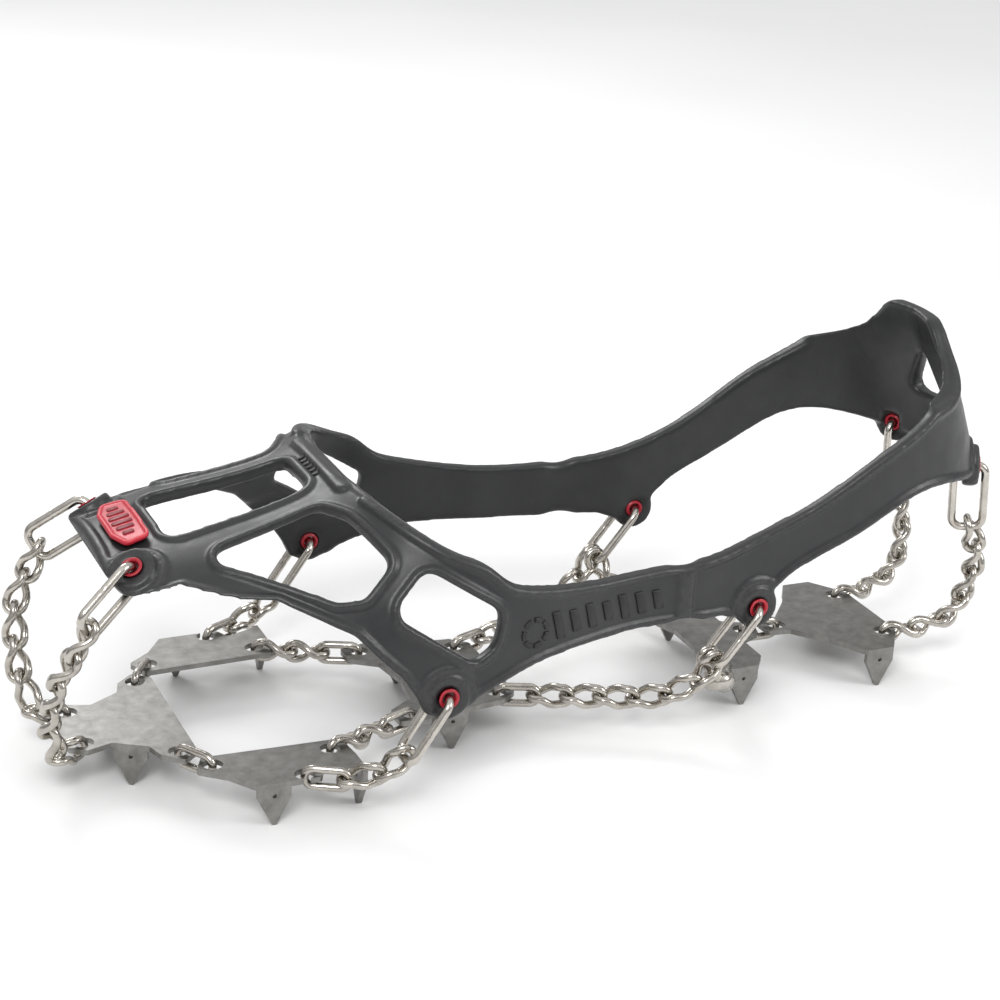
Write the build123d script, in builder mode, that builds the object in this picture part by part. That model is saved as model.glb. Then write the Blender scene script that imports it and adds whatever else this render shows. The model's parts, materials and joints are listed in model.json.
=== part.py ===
from build123d import *
import os
from math import cos, sin, radians

os.makedirs("parts", exist_ok=True)

# Slip-on ice cleats for one shoe, in the stretched shape they have when worn.
# Millimetres. +X points to the toe, +Y to the left and +Z up. The origin is the
# middle of the tread plane, which is the top face of the spike plates.

# ---- harness: a moulded rubber band with windows, worn over the shoe's upper ----
WALL = 4.2                  # rubber thickness
SHOULDER_Z = 25.0           # below this height the band stands vertical
SIDE_POWER = 2.6            # roundness of the shoe's cross-section
CROWN_POWER = 2.4
JOIN_X = -40.0              # where the heel shell meets the forefoot shell
BOSS_DIAMETER = 12.6        # round pad of rubber at each eyelet
BOSS_THICKNESS = 4.8
BOSS_RISE = 0.4             # of the pad above the band's outer face
RING_CHANNEL = (26.0, 5.5)  # where the rubber is thinned beside a ring's legs
RING_CHANNEL_CENTRE = (9, 0)
EYELET_DIAMETER = 5.0       # hole in the rubber, filled by a grommet
WINDOW_ROUNDING = 4.0
HEEL_WINDOW_ROUNDING = 2.5
BADGE_ROUNDING = 2.0

# half width and height of the outer face at stations along the foot
FOREFOOT = {
    -45: (42.5, 132.0), -25: (44.0, 127.0), -8: (47.8, 112.0), 10: (52.5, 97.0),
    25: (55.1, 85.0), 40: (56.0, 75.0), 55: (55.3, 67.4), 72: (53.1, 62.6),
    90: (48.1, 59.5), 105: (41.6, 56.6), 118: (32.8, 52.6),
}
# plan of the heel shell: distance from the heel's back to half width
HEEL_BACK_X = -151.6
HEEL_PLAN = [(0.0, 0.0), (1.6, 9.5), (6.0, 20.5), (15.0, 30.6), (31.5, 37.6), (55.0, 40.3),
             (90.0, 40.0), (104.6, 42.3), (114.0, 43.0)]
HEEL_LEAN = 17.0            # how far the heel shell leans forward between these two heights
HEEL_LEAN_Z = (48.0, 104.0)
HEEL_LEAN_REACH = 60.0      # distance from the back over which the lean fades out

# side view of the band (x, z): top edge from the toe bar to the heel, then bottom edge back
TOP_EDGE = [(50.3, 68.5), (47.0, 67.9), (42.8, 65.6), (37.3, 62.3), (29.7, 58.0), (22.0, 54.6),
            (15.2, 49.1), (9.5, 47.1), (-2.7, 44.9), (-18.9, 43.6), (-34.7, 43.8), (-50.7, 44.8),
            (-64.1, 48.4), (-81.6, 55.7), (-101.0, 67.6), (-110.1, 72.4), (-117.4, 77.0)]
TAB_TOP_Z = 96.0
BOTTOM_EDGE = [(-151.0, 51.0), (-131.0, 54.0), (-118.9, 54.8), (-110.0, 52.6), (-95.0, 44.7),
               (-77.9, 37.0), (-71.5, 32.5), (-66.0, 27.0), (-53.1, 26.2), (-36.1, 27.1),
               (-3.8, 26.8), (7.9, 25.6), (17.4, 22.9), (24.5, 20.3), (28.5, 17.6),
               (40.0, 17.6), (42.5, 23.0), (46.6, 29.0), (52.8, 34.9), (58.2, 40.9), (67.1, 45.2),
               (76.3, 49.3), (84.9, 49.5), (97.4, 51.5), (105.1, 49.4), (110.5, 48.4),
               (113.7, 51.7), (112.3, 56.0)]
# rear view of the heel tab (y, z), half
TAB_EDGE = [(60.0, 75.6), (43.0, 75.9), (37.4, 77.2), (31.0, 79.8), (24.0, 83.6), (17.5, 88.6),
            (13.5, 93.2), (9.0, TAB_TOP_Z)]

# badge on the toe bar, seen from above
BADGE_OUTLINE = [(99.6, 12.6), (99.6, -12.6), (106.4, -13.6), (108.8, -7.0), (108.8, 7.0),
                 (106.4, 13.6)]
BADGE_HEIGHT = 1.4

# windows, as corner points on the outer face (x, y, z)
TOP_WINDOW = [(95.8, 14.6, 58.6), (56.8, 10.6, 65.6), (56.8, -10.6, 65.6), (95.8, -14.6, 58.6)]
TRIANGLE_WINDOW = [(92.0, 25.5, 56.5), (58.0, 20.5, 64.0), (53.2, 28.0, 63.6), (46.4, 45.0, 57.0),
                   (55.0, 48.6, 49.6), (62.0, 47.6, 49.6)]
SIDE_WINDOW = [(48.6, 0.0, 45.4), (38.4, 0.0, 55.6), (18.6, 0.0, 42.4), (21.0, 0.0, 33.5),
               (26.6, 0.0, 29.8)]
HEEL_WINDOW = [(0.0, 84.0), (10.5, 67.5), (-10.5, 67.5)]

# ---- eyelets on the left side: centre of the outer face, outward normal, and the
# direction in which the ring is pulled by its chain ----
EYELETS = {
    "front": ((107.2, 22.4, 53.9), (0.42, 0.42, 0.80), (0.66, 0.25, -0.70)),
    "ball": ((34.3, 56.0, 22.2), (0.0, 1.0, 0.02), (0.56, -0.05, -0.83)),
    "arch": ((-64.2, 40.2, 27.1), (0.0, 1.0, 0.0), (0.62, 0.0, -0.78)),
    "heel": ((-145.6, 21.0, 53.4), (-0.86, 0.50, 0.06), (0.0, 0.0, -1.0)),
}
GROMMET_FLANGE = 5.6
GROMMET_HOLE = 3.6
GROMMET_LIP = 0.3

# ---- chain hardware ----
RING_WIRE = 2.4
RING_LENGTH = 19.4          # along the wire's centre line
RING_WIDTH = 9.0
RING_CORNER = 2.7
LINK_WIRE = 2.2
LINK_GAP = 0.3              # play between two links
LINK_LENGTH = 11.7          # along the wire's centre line
LINK_BEND = LINK_WIRE + LINK_GAP        # radius of the link's rounded ends
RING_PLAY = 0.5             # play between a ring and the link that hangs on it
RING_REACH = (RING_WIRE + LINK_WIRE) / 2 + RING_PLAY

# chain runs on the left side: number of links, how many of the last ones share a node, and
# the route of the chain from the ring's free end to the hole in its spike plate
RUNS = {
    "front": (6, 0, [(124.9, 27.9, 33.5), (127.9, 24.6, 24.5), (129.0, 20.8, 16.0),
                     (127.9, 16.3, 7.6), (122.6, 11.4, 0.8), (115.5, 8.0, -0.75),
                     (100.0, 0.6, -0.75)]),
    "ball": (3, 0, [(52.0, 52.4, 0.2), (60.0, 48.4, -0.95), (68.2, 44.2, -0.75),
                    (85.0, 35.6, -0.75)]),
    "arch": (7, 3, [(-47.2, 38.2, 4.4), (-40.2, 34.2, 0.2), (-31.9, 30.2, -0.75),
                    (-23.4, 26.4, -0.75), (10.4, 12.6, -0.75), (25.0, 7.6, -0.75)]),
    "heel": (6, 3, [(-147.9, 20.7, 27.8), (-150.2, 19.2, 18.8), (-149.8, 17.6, 9.8),
                    (-145.0, 16.2, 1.8), (-136.6, 15.0, -0.95), (-127.5, 14.0, -0.75),
                    (-110.0, 12.0, -0.75)]),
}
TIE_LINKS = 3
TIE_ROUTE = [(-55.9, 34.9, 3.9), (-61.2, 28.8, -0.6), (-67.2, 21.7, -0.75), (-85.0, 1.4, -0.75)]
# the toe and heel chains curve round a point inside the shoe
HUBS = {"front": (95.0, 12.0, 25.0), "heel": (-120.0, 14.0, 25.0)}
TIE_OFFSET = 1.6            # the arch ring carries two links, this far either side of its middle

# ---- spike plates, bent from sheet steel ----
SHEET = 1.5
SPIKE_DEPTH = 12.0
SPIKE_WIDTH = 9.0
SPIKE_EYE = 1.2
SPIKE_SHOULDER = 4.2        # length of the blade's parallel upper part
SPIKE_TIP = 1.0             # width of the blunt tip
SPIKE_EYE_Z = -3.6
CHAIN_HOLE = 5.4
PLATE_ROUNDING = 1.2
MID_SHEET = -SHEET / 2
# chain holes that the runs above don't set, on the left side (x, y)
TOE_REAR_HOLE = (95.5, 21.5)
BALL_FRONT_HEADING = 123.0  # direction of the link from the toe plate to the ball plate
BALL_REAR_HOLE = (57.5, 32.5)
BALL_REAR_HEADING = 203.0   # direction of the links from the ball plate to the middle plate
HEEL_FRONT_HOLE = (-84.0, 0.0)
# plate outlines (x, y): the left halves of the plates on the centre line, and the ball plate
TOE_PLATE = [(90.5, 0.0), (90.5, 15.0), (90.5, 22.5), (95.0, 26.6), (100.2, 22.0), (101.9, 16.5),
             (110.5, 11.5), (117.5, 13.8), (121.9, 11.0), (121.9, 0.0)]
BALL_PLATE = [(52.0, 37.5), (52.0, 46.5), (57.0, 44.0), (62.5, 42.0), (64.5, 46.4), (72.7, 46.2),
              (81.7, 46.2), (87.0, 38.5), (93.9, 33.0), (91.0, 26.7), (84.5, 27.0), (62.0, 27.8),
              (53.0, 28.0)]
MIDDLE_PLATE = [(-2.6, 0.0), (-2.6, 16.5), (2.0, 20.5), (13.5, 22.0), (22.5, 22.0), (26.0, 25.5),
                (34.5, 24.0), (34.5, 17.0), (27.0, 12.0), (25.0, 0.0)]
HEEL_FRONT_PLATE = [(-88.6, 0.0), (-87.5, 3.8), (-80.5, 7.0), (-80.5, 18.0), (-76.5, 23.5),
                    (-67.5, 23.5), (-63.4, 23.5), (-61.5, 19.0), (-62.0, 13.0), (-64.5, 6.0),
                    (-64.5, 0.0)]
HEEL_REAR_PLATE = [(-128.8, 0.0), (-128.8, 14.0), (-126.0, 18.5), (-121.5, 25.0), (-112.5, 25.0),
                   (-106.0, 14.0), (-98.0, 4.6), (-91.0, 3.8), (-91.0, 0.0)]
# spikes: middle of the bend (x, y) and the direction that the blade's face points to
TOE_SPIKE = ((106.2, 14.0), 59.8)
BALL_SIDE_SPIKE = ((77.2, 46.2), 90.0)
BALL_REAR_SPIKE = ((52.0, 42.0), 180.0)
MIDDLE_SPIKE = ((18.0, 22.0), 90.0)
HEEL_FRONT_SPIKE = ((-72.0, 23.5), 90.0)
HEEL_REAR_SPIKE = ((-117.0, 25.0), 90.0)


def mirrored(point):
    """The same point or direction on the right side of the foot."""
    return (point[0], -point[1], point[2])


def export(builder, name):
    builder.part.label = name
    export_step(builder.part, "parts/" + name + ".step")


def crown(half_width, height):
    """Points over the foot's cross-section, from the left shoulder to the right one."""
    points = []
    for step in range(-6, 7):
        angle = radians(15 * step)
        across = abs(sin(angle)) ** (2 / SIDE_POWER) * half_width
        rise = cos(angle) ** (2 / CROWN_POWER) if abs(step) < 6 else 0.0
        points.append((across if step < 0 else -across, SHOULDER_Z + rise * (height - SHOULDER_Z)))
    return points


def forefoot_block(inset, stretch):
    """The shoe's forefoot as a solid, shrunk by inset, its ends moved out by stretch."""
    with BuildPart() as block:
        for x, (half_width, height) in FOREFOOT.items():
            end = {min(FOREFOOT): -stretch, max(FOREFOOT): stretch}.get(x, 0)
            w = half_width - inset
            with BuildSketch(Plane(origin=(x + end, 0, 0), x_dir=(0, 1, 0), z_dir=(1, 0, 0))):
                with BuildLine():
                    arch = Spline(*crown(w, height - inset), tangents=[(0, 1), (0, -1)])
                    Polyline(arch @ 1, (-w, 0), (w, 0), arch @ 0)
                make_face()
        loft()
    return block.part


def heel_lean(z):
    """How far the heel's back leans forward at height z."""
    start, end = HEEL_LEAN_Z
    share = min(max((z - start) / (end - start), 0), 1)
    return HEEL_LEAN * share * share * (3 - 2 * share)


def heel_block(inset):
    """The shoe's heel as a solid, shrunk by inset and leaning forward with height."""
    with BuildPart() as block:
        for z in (0.0, *range(int(HEEL_LEAN_Z[0]), 112, 8)):
            lean = heel_lean(z)
            half = []
            for back, half_width in HEEL_PLAN:
                share = max(1 - back / HEEL_LEAN_REACH, 0)
                x = HEEL_BACK_X + back + share * (lean + inset)
                half.append((x, max(half_width - inset, 0)))
            left = half[1:]
            right = [(x, -y) for x, y in reversed(left)]
            with BuildSketch(Plane.XY.offset(z)):
                with BuildLine():
                    back_curve = Spline(*right, half[0], *left)
                    Line(back_curve @ 1, back_curve @ 0)
                make_face()
        loft(ruled=True)
    return block.part


forefoot_outer = forefoot_block(0, 0)
forefoot_inner = forefoot_block(WALL, 3)
heel_outer = heel_block(0)
heel_inner = heel_block(WALL)

with BuildPart() as forefoot_shell:
    add(forefoot_outer)
    add(forefoot_inner, mode=Mode.SUBTRACT)
    split(bisect_by=Plane(origin=(JOIN_X - 0.2, 0, 0), z_dir=(1, 0, 0)), keep=Keep.TOP)

with BuildPart() as heel_shell:
    add(heel_outer)
    add(heel_inner, mode=Mode.SUBTRACT)
    split(bisect_by=Plane(origin=(JOIN_X, 0, 0), z_dir=(-1, 0, 0)), keep=Keep.TOP)


def window_cutter(corners, normal, rounding):
    """A rounded prism through the corner points, along normal."""
    centre = sum((Vector(*c) for c in corners), Vector()) / len(corners)
    plane = Plane(origin=centre, z_dir=normal)
    outline = [plane.to_local_coords(Vector(*c)) for c in corners]
    with BuildPart() as cutter:
        with BuildSketch(plane):
            with BuildLine():
                Polyline(*[(p.X, p.Y) for p in outline], close=True)
            make_face()
            fillet(vertices(), rounding)
        extrude(amount=30, both=True)
    return cutter.part


def eyelet_plane(eyelet, left=True):
    """Plane at the eyelet's outer face: z is the outward normal, x is the pull direction."""
    centre, normal, pull = eyelet if left else [mirrored(v) for v in eyelet]
    normal = Vector(*normal).normalized()
    pull = Vector(*pull)
    pull = (pull - normal * pull.dot(normal)).normalized()
    return Plane(origin=centre, x_dir=pull, z_dir=normal)


eyelet_planes = {}
for place, eyelet in EYELETS.items():
    eyelet_planes[place + "_left"] = eyelet_plane(eyelet)
    eyelet_planes[place + "_right"] = eyelet_plane(eyelet, left=False)

with BuildPart() as side_band:          # everything inside the side view's outline
    with BuildSketch(Plane.XZ):
        with BuildLine():
            top = Spline(*TOP_EDGE)
            Polyline(top @ 1, (-119.0, TAB_TOP_Z), (-160.0, TAB_TOP_Z), BOTTOM_EDGE[0])
            heel_edge = Spline(*BOTTOM_EDGE[:9])
            belt_edge = Spline(*BOTTOM_EDGE[8:14])
            Polyline(*BOTTOM_EDGE[13:], (112.3, 90.0), (50.3, 90.0), top @ 0)
        make_face()
    extrude(amount=90, both=True)

with BuildPart() as tab_band:           # the rear view's outline of the heel tab
    with BuildSketch(Plane.YZ.offset(-160)):
        with BuildLine():
            left_edge = Spline(*TAB_EDGE)
            right_edge = Spline(*[(-y, z) for y, z in reversed(TAB_EDGE)])
            Line(left_edge @ 1, right_edge @ 0)
            Polyline(right_edge @ 1, (-60, 0), (60, 0), left_edge @ 0)
        make_face()
    extrude(amount=160 - 116)
    with Locations((-116.0, 0, 60)):
        Box(250, 140, 160, align=(Align.MIN, Align.CENTER, Align.CENTER))

with BuildPart() as harness:
    add(forefoot_shell.part)
    add(heel_shell.part)
    add(side_band.part, mode=Mode.INTERSECT)
    add(tab_band.part, mode=Mode.INTERSECT)
    for plane in eyelet_planes.values():
        with BuildSketch(plane.offset(BOSS_RISE - BOSS_THICKNESS)):
            Circle(BOSS_DIAMETER / 2)
        extrude(amount=BOSS_THICKNESS)
    add(window_cutter(TOP_WINDOW, (0.1, 0, 1), WINDOW_ROUNDING), mode=Mode.SUBTRACT)
    add(window_cutter([(-150, y, z) for y, z in HEEL_WINDOW], (1, 0, 0),
                      HEEL_WINDOW_ROUNDING), mode=Mode.SUBTRACT)
    for side in (1, -1):
        for corners, normal in ((TRIANGLE_WINDOW, (0.12, 0.62, 0.78)), (SIDE_WINDOW, (0, 1, 0.12))):
            corners = [(x, side * y if y else side * 52, z) for x, y, z in corners]
            normal = (normal[0], side * normal[1], normal[2])
            cutter = window_cutter(corners, normal, WINDOW_ROUNDING)
            with BuildPart(mode=Mode.PRIVATE) as one_side:
                add(cutter)
                split(bisect_by=Plane(origin=(0, side * 4, 0), z_dir=(0, side, 0)), keep=Keep.TOP)
            add(one_side.part, mode=Mode.SUBTRACT)
    for plane in eyelet_planes.values():
        middle = plane.offset(BOSS_RISE - BOSS_THICKNESS / 2)
        with BuildSketch(middle):
            Circle(EYELET_DIAMETER / 2)
        extrude(amount=12, both=True, mode=Mode.SUBTRACT)
        # the rubber is thinned where the ring's inner leg passes
        with BuildSketch(plane.offset(BOSS_RISE - BOSS_THICKNESS)):
            with Locations(RING_CHANNEL_CENTRE):
                Rectangle(*RING_CHANNEL)
        extrude(amount=-14, mode=Mode.SUBTRACT)
        with BuildSketch(plane.offset(BOSS_RISE)):
            with Locations(RING_CHANNEL_CENTRE):
                Rectangle(*RING_CHANNEL)
        extrude(amount=14, mode=Mode.SUBTRACT)
print("harness", harness.part.volume, len(harness.solids()), harness.part.is_valid)
export(harness, "harness")

# ---- the grommets: flanged bushes that line the eyelets ----
with BuildPart() as grommets:
    for plane in eyelet_planes.values():
        outer_face = plane.offset(BOSS_RISE)
        with BuildSketch(outer_face):
            Circle(EYELET_DIAMETER / 2)
        extrude(amount=-BOSS_THICKNESS)
        with BuildSketch(outer_face):
            Circle(GROMMET_FLANGE / 2)
        extrude(amount=GROMMET_LIP)
        with BuildSketch(outer_face.offset(GROMMET_LIP)):
            Circle(GROMMET_HOLE / 2)
        extrude(amount=-BOSS_THICKNESS - 2 * GROMMET_LIP, mode=Mode.SUBTRACT)
print("grommets", grommets.part.volume, len(grommets.solids()))
export(grommets, "grommets")

# ---- the badge on the toe bar: a raised red rubber plate ----
with BuildPart() as badge:
    with BuildSketch(Plane.XY.offset(30)):
        with BuildLine():
            Polyline(*BADGE_OUTLINE, close=True)
        make_face()
        fillet(vertices(), BADGE_ROUNDING)
    extrude(amount=60)
    add(forefoot_block(-BADGE_HEIGHT, 0), mode=Mode.INTERSECT)
    add(forefoot_outer, mode=Mode.SUBTRACT)
print("badge", badge.part.volume, len(badge.solids()))
export(badge, "badge")


def wire_loop(plane, length, width, corner, wire):
    """A closed wire loop whose long axis is the plane's x and whose first end is its origin."""
    straight_x = length - 2 * corner
    half_y = width / 2
    with BuildPart() as loop:
        with BuildLine(plane) as path:
            if half_y > corner:
                Line((0, -(half_y - corner)), (0, half_y - corner))
            RadiusArc((0, half_y - corner), (corner, half_y), corner)
            Line((corner, half_y), (corner + straight_x, half_y))
            RadiusArc((corner + straight_x, half_y), (length, half_y - corner), corner)
            if half_y > corner:
                Line((length, half_y - corner), (length, -(half_y - corner)))
            RadiusArc((length, -(half_y - corner)), (corner + straight_x, -half_y), corner)
            Line((corner + straight_x, -half_y), (corner, -half_y))
            RadiusArc((corner, -half_y), (0, -(half_y - corner)), corner)
        start = plane.from_local_coords((corner + straight_x / 2, half_y, 0))
        with BuildSketch(Plane(origin=start, x_dir=plane.z_dir, z_dir=plane.x_dir)):
            Circle(wire / 2)
        sweep(path=path.wire())
    return loop


# ---- the eyelet rings: one leg outside the rubber, one inside ----
ring_ends = {}
for place, plane in eyelet_planes.items():
    middle = plane.offset(BOSS_RISE - BOSS_THICKNESS / 2)
    ring_plane = Plane(origin=middle.origin, x_dir=middle.x_dir, z_dir=middle.y_dir)
    ring = wire_loop(ring_plane, RING_LENGTH, RING_WIDTH, RING_CORNER, RING_WIRE)
    ring_ends[place] = ring_plane.from_local_coords((RING_LENGTH, 0, 0))
    print(place, "ring", ring.part.volume, ring.part.is_valid, ring_ends[place])
    export(ring, "ring_" + place)


# ---- the chains ----
def walk(start, route, count):
    """Even steps of one link's pitch along the route: the points where the links meet."""
    with BuildLine() as line:
        Spline(start, *route)
    curve = line.wire()
    pitch = LINK_LENGTH - LINK_BEND
    points = [Vector(*start)]
    share = 0.0
    while len(points) <= count and share < 1.0:
        share += 0.001
        here = curve @ share
        if (here - points[-1]).length >= pitch:
            points.append(here)
    return points


def link_loops(origin, points, ring_normal, hub=None):
    """Wire links through the points. Each link stands at right angles to the one before.

    The first hangs on a ring whose end wire lies along ring_normal. Links that turn under
    the sole take their normals from the hub, and the last of them stands upright.
    """
    count = len(points) - 1
    loops = []
    apex = origin
    wire_before = ring_normal
    for i in range(count):
        onward = (points[i + 1] - points[i]).normalized()
        aim = points[i + 1] + onward * LINK_BEND / 2
        heading = aim - apex
        if i == count - 1:
            heading = Vector(heading.X, heading.Y, 0)
        heading = heading.normalized()
        if hub is None or i == 0:
            normal = ring_normal
        elif i < count - 2:
            normal = (points[i] + points[i + 1]) / 2 - hub
        else:
            normal = Vector(0, 0, -1)
        normal = (normal - heading * normal.dot(heading)).normalized()
        side = heading.cross(normal).normalized() if i % 2 == 0 else normal
        square = heading.cross(wire_before).normalized()
        if 0 < i < count - 1:
            side = (side + square * (1 if square.dot(side) > 0 else -1)).normalized()
        step = wire_before.cross(side).normalized() * (LINK_BEND if i else RING_REACH)
        apex = apex + (step if step.dot(heading) < 0 else -step)
        if i == count - 2:
            drop = (MID_SHEET - apex.Z) / LINK_LENGTH
            level = Vector(heading.X, heading.Y, 0).normalized() * (1 - drop**2) ** 0.5
            heading = Vector(level.X, level.Y, drop)
            side = (side - heading * side.dot(heading)).normalized()
        plane = Plane(origin=apex, x_dir=heading, z_dir=heading.cross(side))
        loops.append(wire_loop(plane, LINK_LENGTH, 2 * LINK_BEND, LINK_BEND, LINK_WIRE))
        apex = apex + heading * LINK_LENGTH
        wire_before = side
    return loops, apex


def export_links(loops, name, shared):
    """One node for each link, apart from the last ones, which share a node."""
    separate = len(loops) - shared
    for number, loop in enumerate(loops[:separate], start=1):
        export(loop, name + "_link_" + str(number))
    if shared:
        with BuildPart() as group:
            for loop in loops[separate:]:
                add(loop.part)
        print(name, "shared links", len(group.solids()))
        export(group, name + "_end_links")


holes = {}
for run, (count, shared, route) in RUNS.items():
    for side in ("left", "right"):
        place = run + "_" + side
        flip = 1 if side == "left" else -1
        plane = eyelet_planes[place]
        start = ring_ends[place]
        if run == "arch":
            start = start + plane.z_dir * TIE_OFFSET
        path = [(x, flip * y, z) for x, y, z in route]
        points = walk(start, path, count)
        hub = Vector(HUBS[run][0], flip * HUBS[run][1], HUBS[run][2]) if run in HUBS else None
        loops, end = link_loops(start, points, plane.z_dir, hub)
        holes[place] = (end.X, end.Y)
        print(place, len(loops), "links end at", end)
        export_links(loops, place, shared)


def upright_links(start, heading, count):
    """A straight run under the sole between two plates, from the hole at start (x, y)."""
    along = Vector(cos(radians(heading)), sin(radians(heading)), 0)
    apex = Vector(start[0], start[1], MID_SHEET)
    loops = []
    for i in range(count):
        side = Vector(0, 0, 1) if i % 2 == 0 else along.cross(Vector(0, 0, 1))
        plane = Plane(origin=apex, x_dir=along, z_dir=along.cross(side))
        loops.append(wire_loop(plane, LINK_LENGTH, 2 * LINK_BEND, LINK_BEND, LINK_WIRE))
        apex = apex + along * (LINK_LENGTH - LINK_BEND)
    end = apex + along * LINK_BEND
    return loops, (end.X, end.Y)


for side, flip in (("left", 1), ("right", -1)):
    toe_hole = (TOE_REAR_HOLE[0], flip * TOE_REAR_HOLE[1])
    loops, holes["ball_front_" + side] = upright_links(toe_hole, flip * BALL_FRONT_HEADING, 1)
    export(loops[0], "toe_to_ball_link_" + side)
    ball_hole = (BALL_REAR_HOLE[0], flip * BALL_REAR_HOLE[1])
    loops, holes["middle_front_" + side] = upright_links(ball_hole, flip * BALL_REAR_HEADING, 3)
    export_links(loops, "ball_to_middle_" + side, 3)
    # the links that tie the arch ring to the heel's front plate
    plane = eyelet_planes["arch_" + side]
    hook = ring_ends["arch_" + side] - plane.z_dir * TIE_OFFSET
    points = walk(hook, [(x, flip * y, z) for x, y, z in TIE_ROUTE], TIE_LINKS)
    loops, end = link_loops(hook, points, plane.z_dir)
    holes["tie_" + side] = (end.X, end.Y)
    print("tie ends at", end)
    export_links(loops, "arch_to_heel_" + side, TIE_LINKS)
loops, holes["heel_rear_front"] = upright_links(HEEL_FRONT_HOLE, 180, 1)
export(loops[0], "heel_to_heel_link")
print({name: (round(x, 2), round(y, 2)) for name, (x, y) in holes.items()})


# ---- the spike plates ----
def blade(spike):
    """One spike: a pointed blade bent down from the sheet's edge, with a small eye."""
    (x, y), facing = spike
    plane = Plane(origin=(x, y, 0), x_dir=(-sin(radians(facing)), cos(radians(facing)), 0),
                  z_dir=(cos(radians(facing)), sin(radians(facing)), 0))
    half = SPIKE_WIDTH / 2
    with BuildPart() as spike_blade:
        with BuildSketch(plane):
            with BuildLine():
                Polyline((-half, 0), (-half, -SPIKE_SHOULDER), (-SPIKE_TIP / 2, -SPIKE_DEPTH),
                         (SPIKE_TIP / 2, -SPIKE_DEPTH), (half, -SPIKE_SHOULDER), (half, 0),
                         close=True)
            make_face()
            with Locations((0, SPIKE_EYE_Z)):
                Circle(SPIKE_EYE / 2, mode=Mode.SUBTRACT)
        extrude(amount=-SHEET)
    return spike_blade.part


def spike_plate(name, outline, chain_holes, spikes):
    """Flat sheet with chain holes, and spikes bent down from its edges."""
    blades = [blade(spike) for spike in spikes]
    with BuildPart() as plate:
        with BuildSketch():
            with BuildLine():
                Polyline(*outline, close=True)
            make_face()
            fillet(vertices(), PLATE_ROUNDING)
            with Locations(*chain_holes):
                Circle(CHAIN_HOLE / 2, mode=Mode.SUBTRACT)
        extrude(amount=-SHEET)
        for one in blades:
            add(one)
    print(name, plate.part.volume, len(plate.solids()), plate.part.is_valid)
    export(plate, name)


def both_halves(outline):
    right = [(x, -y) for x, y in reversed(outline) if y > 0]
    return outline + right


def both_spikes(spike):
    (x, y), facing = spike
    return [spike, ((x, -y), -facing)]


def both(name):
    return [holes[name + "_left"], holes[name + "_right"]]


spike_plate("toe_plate", both_halves(TOE_PLATE),
            both("front") + [TOE_REAR_HOLE, (TOE_REAR_HOLE[0], -TOE_REAR_HOLE[1])],
            both_spikes(TOE_SPIKE))
for side, flip in (("left", 1), ("right", -1)):
    spike_plate("ball_plate_" + side, [(x, flip * y) for x, y in BALL_PLATE],
                [holes["ball_" + side], holes["ball_front_" + side],
                 (BALL_REAR_HOLE[0], flip * BALL_REAR_HOLE[1])],
                [((x, flip * y), flip * facing) for (x, y), facing in
                 (BALL_SIDE_SPIKE, BALL_REAR_SPIKE)])
spike_plate("middle_plate", both_halves(MIDDLE_PLATE), both("arch") + both("middle_front"),
            both_spikes(MIDDLE_SPIKE))
spike_plate("heel_front_plate", both_halves(HEEL_FRONT_PLATE),
            both("tie") + [HEEL_FRONT_HOLE],
            both_spikes(HEEL_FRONT_SPIKE))
spike_plate("heel_rear_plate", both_halves(HEEL_REAR_PLATE),
            both("heel") + [holes["heel_rear_front"]], both_spikes(HEEL_REAR_SPIKE))
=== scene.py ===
"""Slip-on ice cleats for one shoe: the looks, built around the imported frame.

Metres. +X points to the toe, +Y to the left and +Z up, as in the frame.
"""
import json
import math

import bmesh
import bpy
import numpy as np
from mathutils import Matrix, Vector
from mathutils.bvhtree import BVHTree
from mathutils.kdtree import KDTree

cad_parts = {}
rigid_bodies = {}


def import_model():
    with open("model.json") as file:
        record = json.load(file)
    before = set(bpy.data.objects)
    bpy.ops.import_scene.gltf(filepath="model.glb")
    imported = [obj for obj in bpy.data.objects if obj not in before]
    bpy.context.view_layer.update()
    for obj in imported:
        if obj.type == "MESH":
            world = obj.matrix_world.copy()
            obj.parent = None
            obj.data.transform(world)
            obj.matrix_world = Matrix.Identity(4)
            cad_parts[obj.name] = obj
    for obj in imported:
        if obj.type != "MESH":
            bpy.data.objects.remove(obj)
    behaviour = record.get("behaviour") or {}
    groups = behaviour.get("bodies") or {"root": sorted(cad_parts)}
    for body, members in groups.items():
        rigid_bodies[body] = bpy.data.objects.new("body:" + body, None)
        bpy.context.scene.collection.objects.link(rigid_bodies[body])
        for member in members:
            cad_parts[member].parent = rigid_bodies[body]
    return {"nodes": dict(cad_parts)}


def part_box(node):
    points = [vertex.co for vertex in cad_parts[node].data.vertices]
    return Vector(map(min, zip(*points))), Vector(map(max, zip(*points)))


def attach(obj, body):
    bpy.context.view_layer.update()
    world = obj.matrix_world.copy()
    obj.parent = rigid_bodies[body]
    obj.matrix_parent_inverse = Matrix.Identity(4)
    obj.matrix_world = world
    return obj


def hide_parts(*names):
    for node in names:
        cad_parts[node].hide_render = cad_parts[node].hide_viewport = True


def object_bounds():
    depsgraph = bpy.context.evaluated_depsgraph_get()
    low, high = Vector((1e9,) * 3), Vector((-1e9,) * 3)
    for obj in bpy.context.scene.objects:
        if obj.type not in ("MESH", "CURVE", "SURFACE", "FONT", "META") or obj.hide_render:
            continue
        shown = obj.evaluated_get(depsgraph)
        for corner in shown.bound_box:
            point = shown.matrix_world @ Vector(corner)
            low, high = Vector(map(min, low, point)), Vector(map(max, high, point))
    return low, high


for leftover in list(bpy.data.objects):
    bpy.data.objects.remove(leftover)
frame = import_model()
cad_low, cad_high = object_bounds()

MM = 0.001

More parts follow.
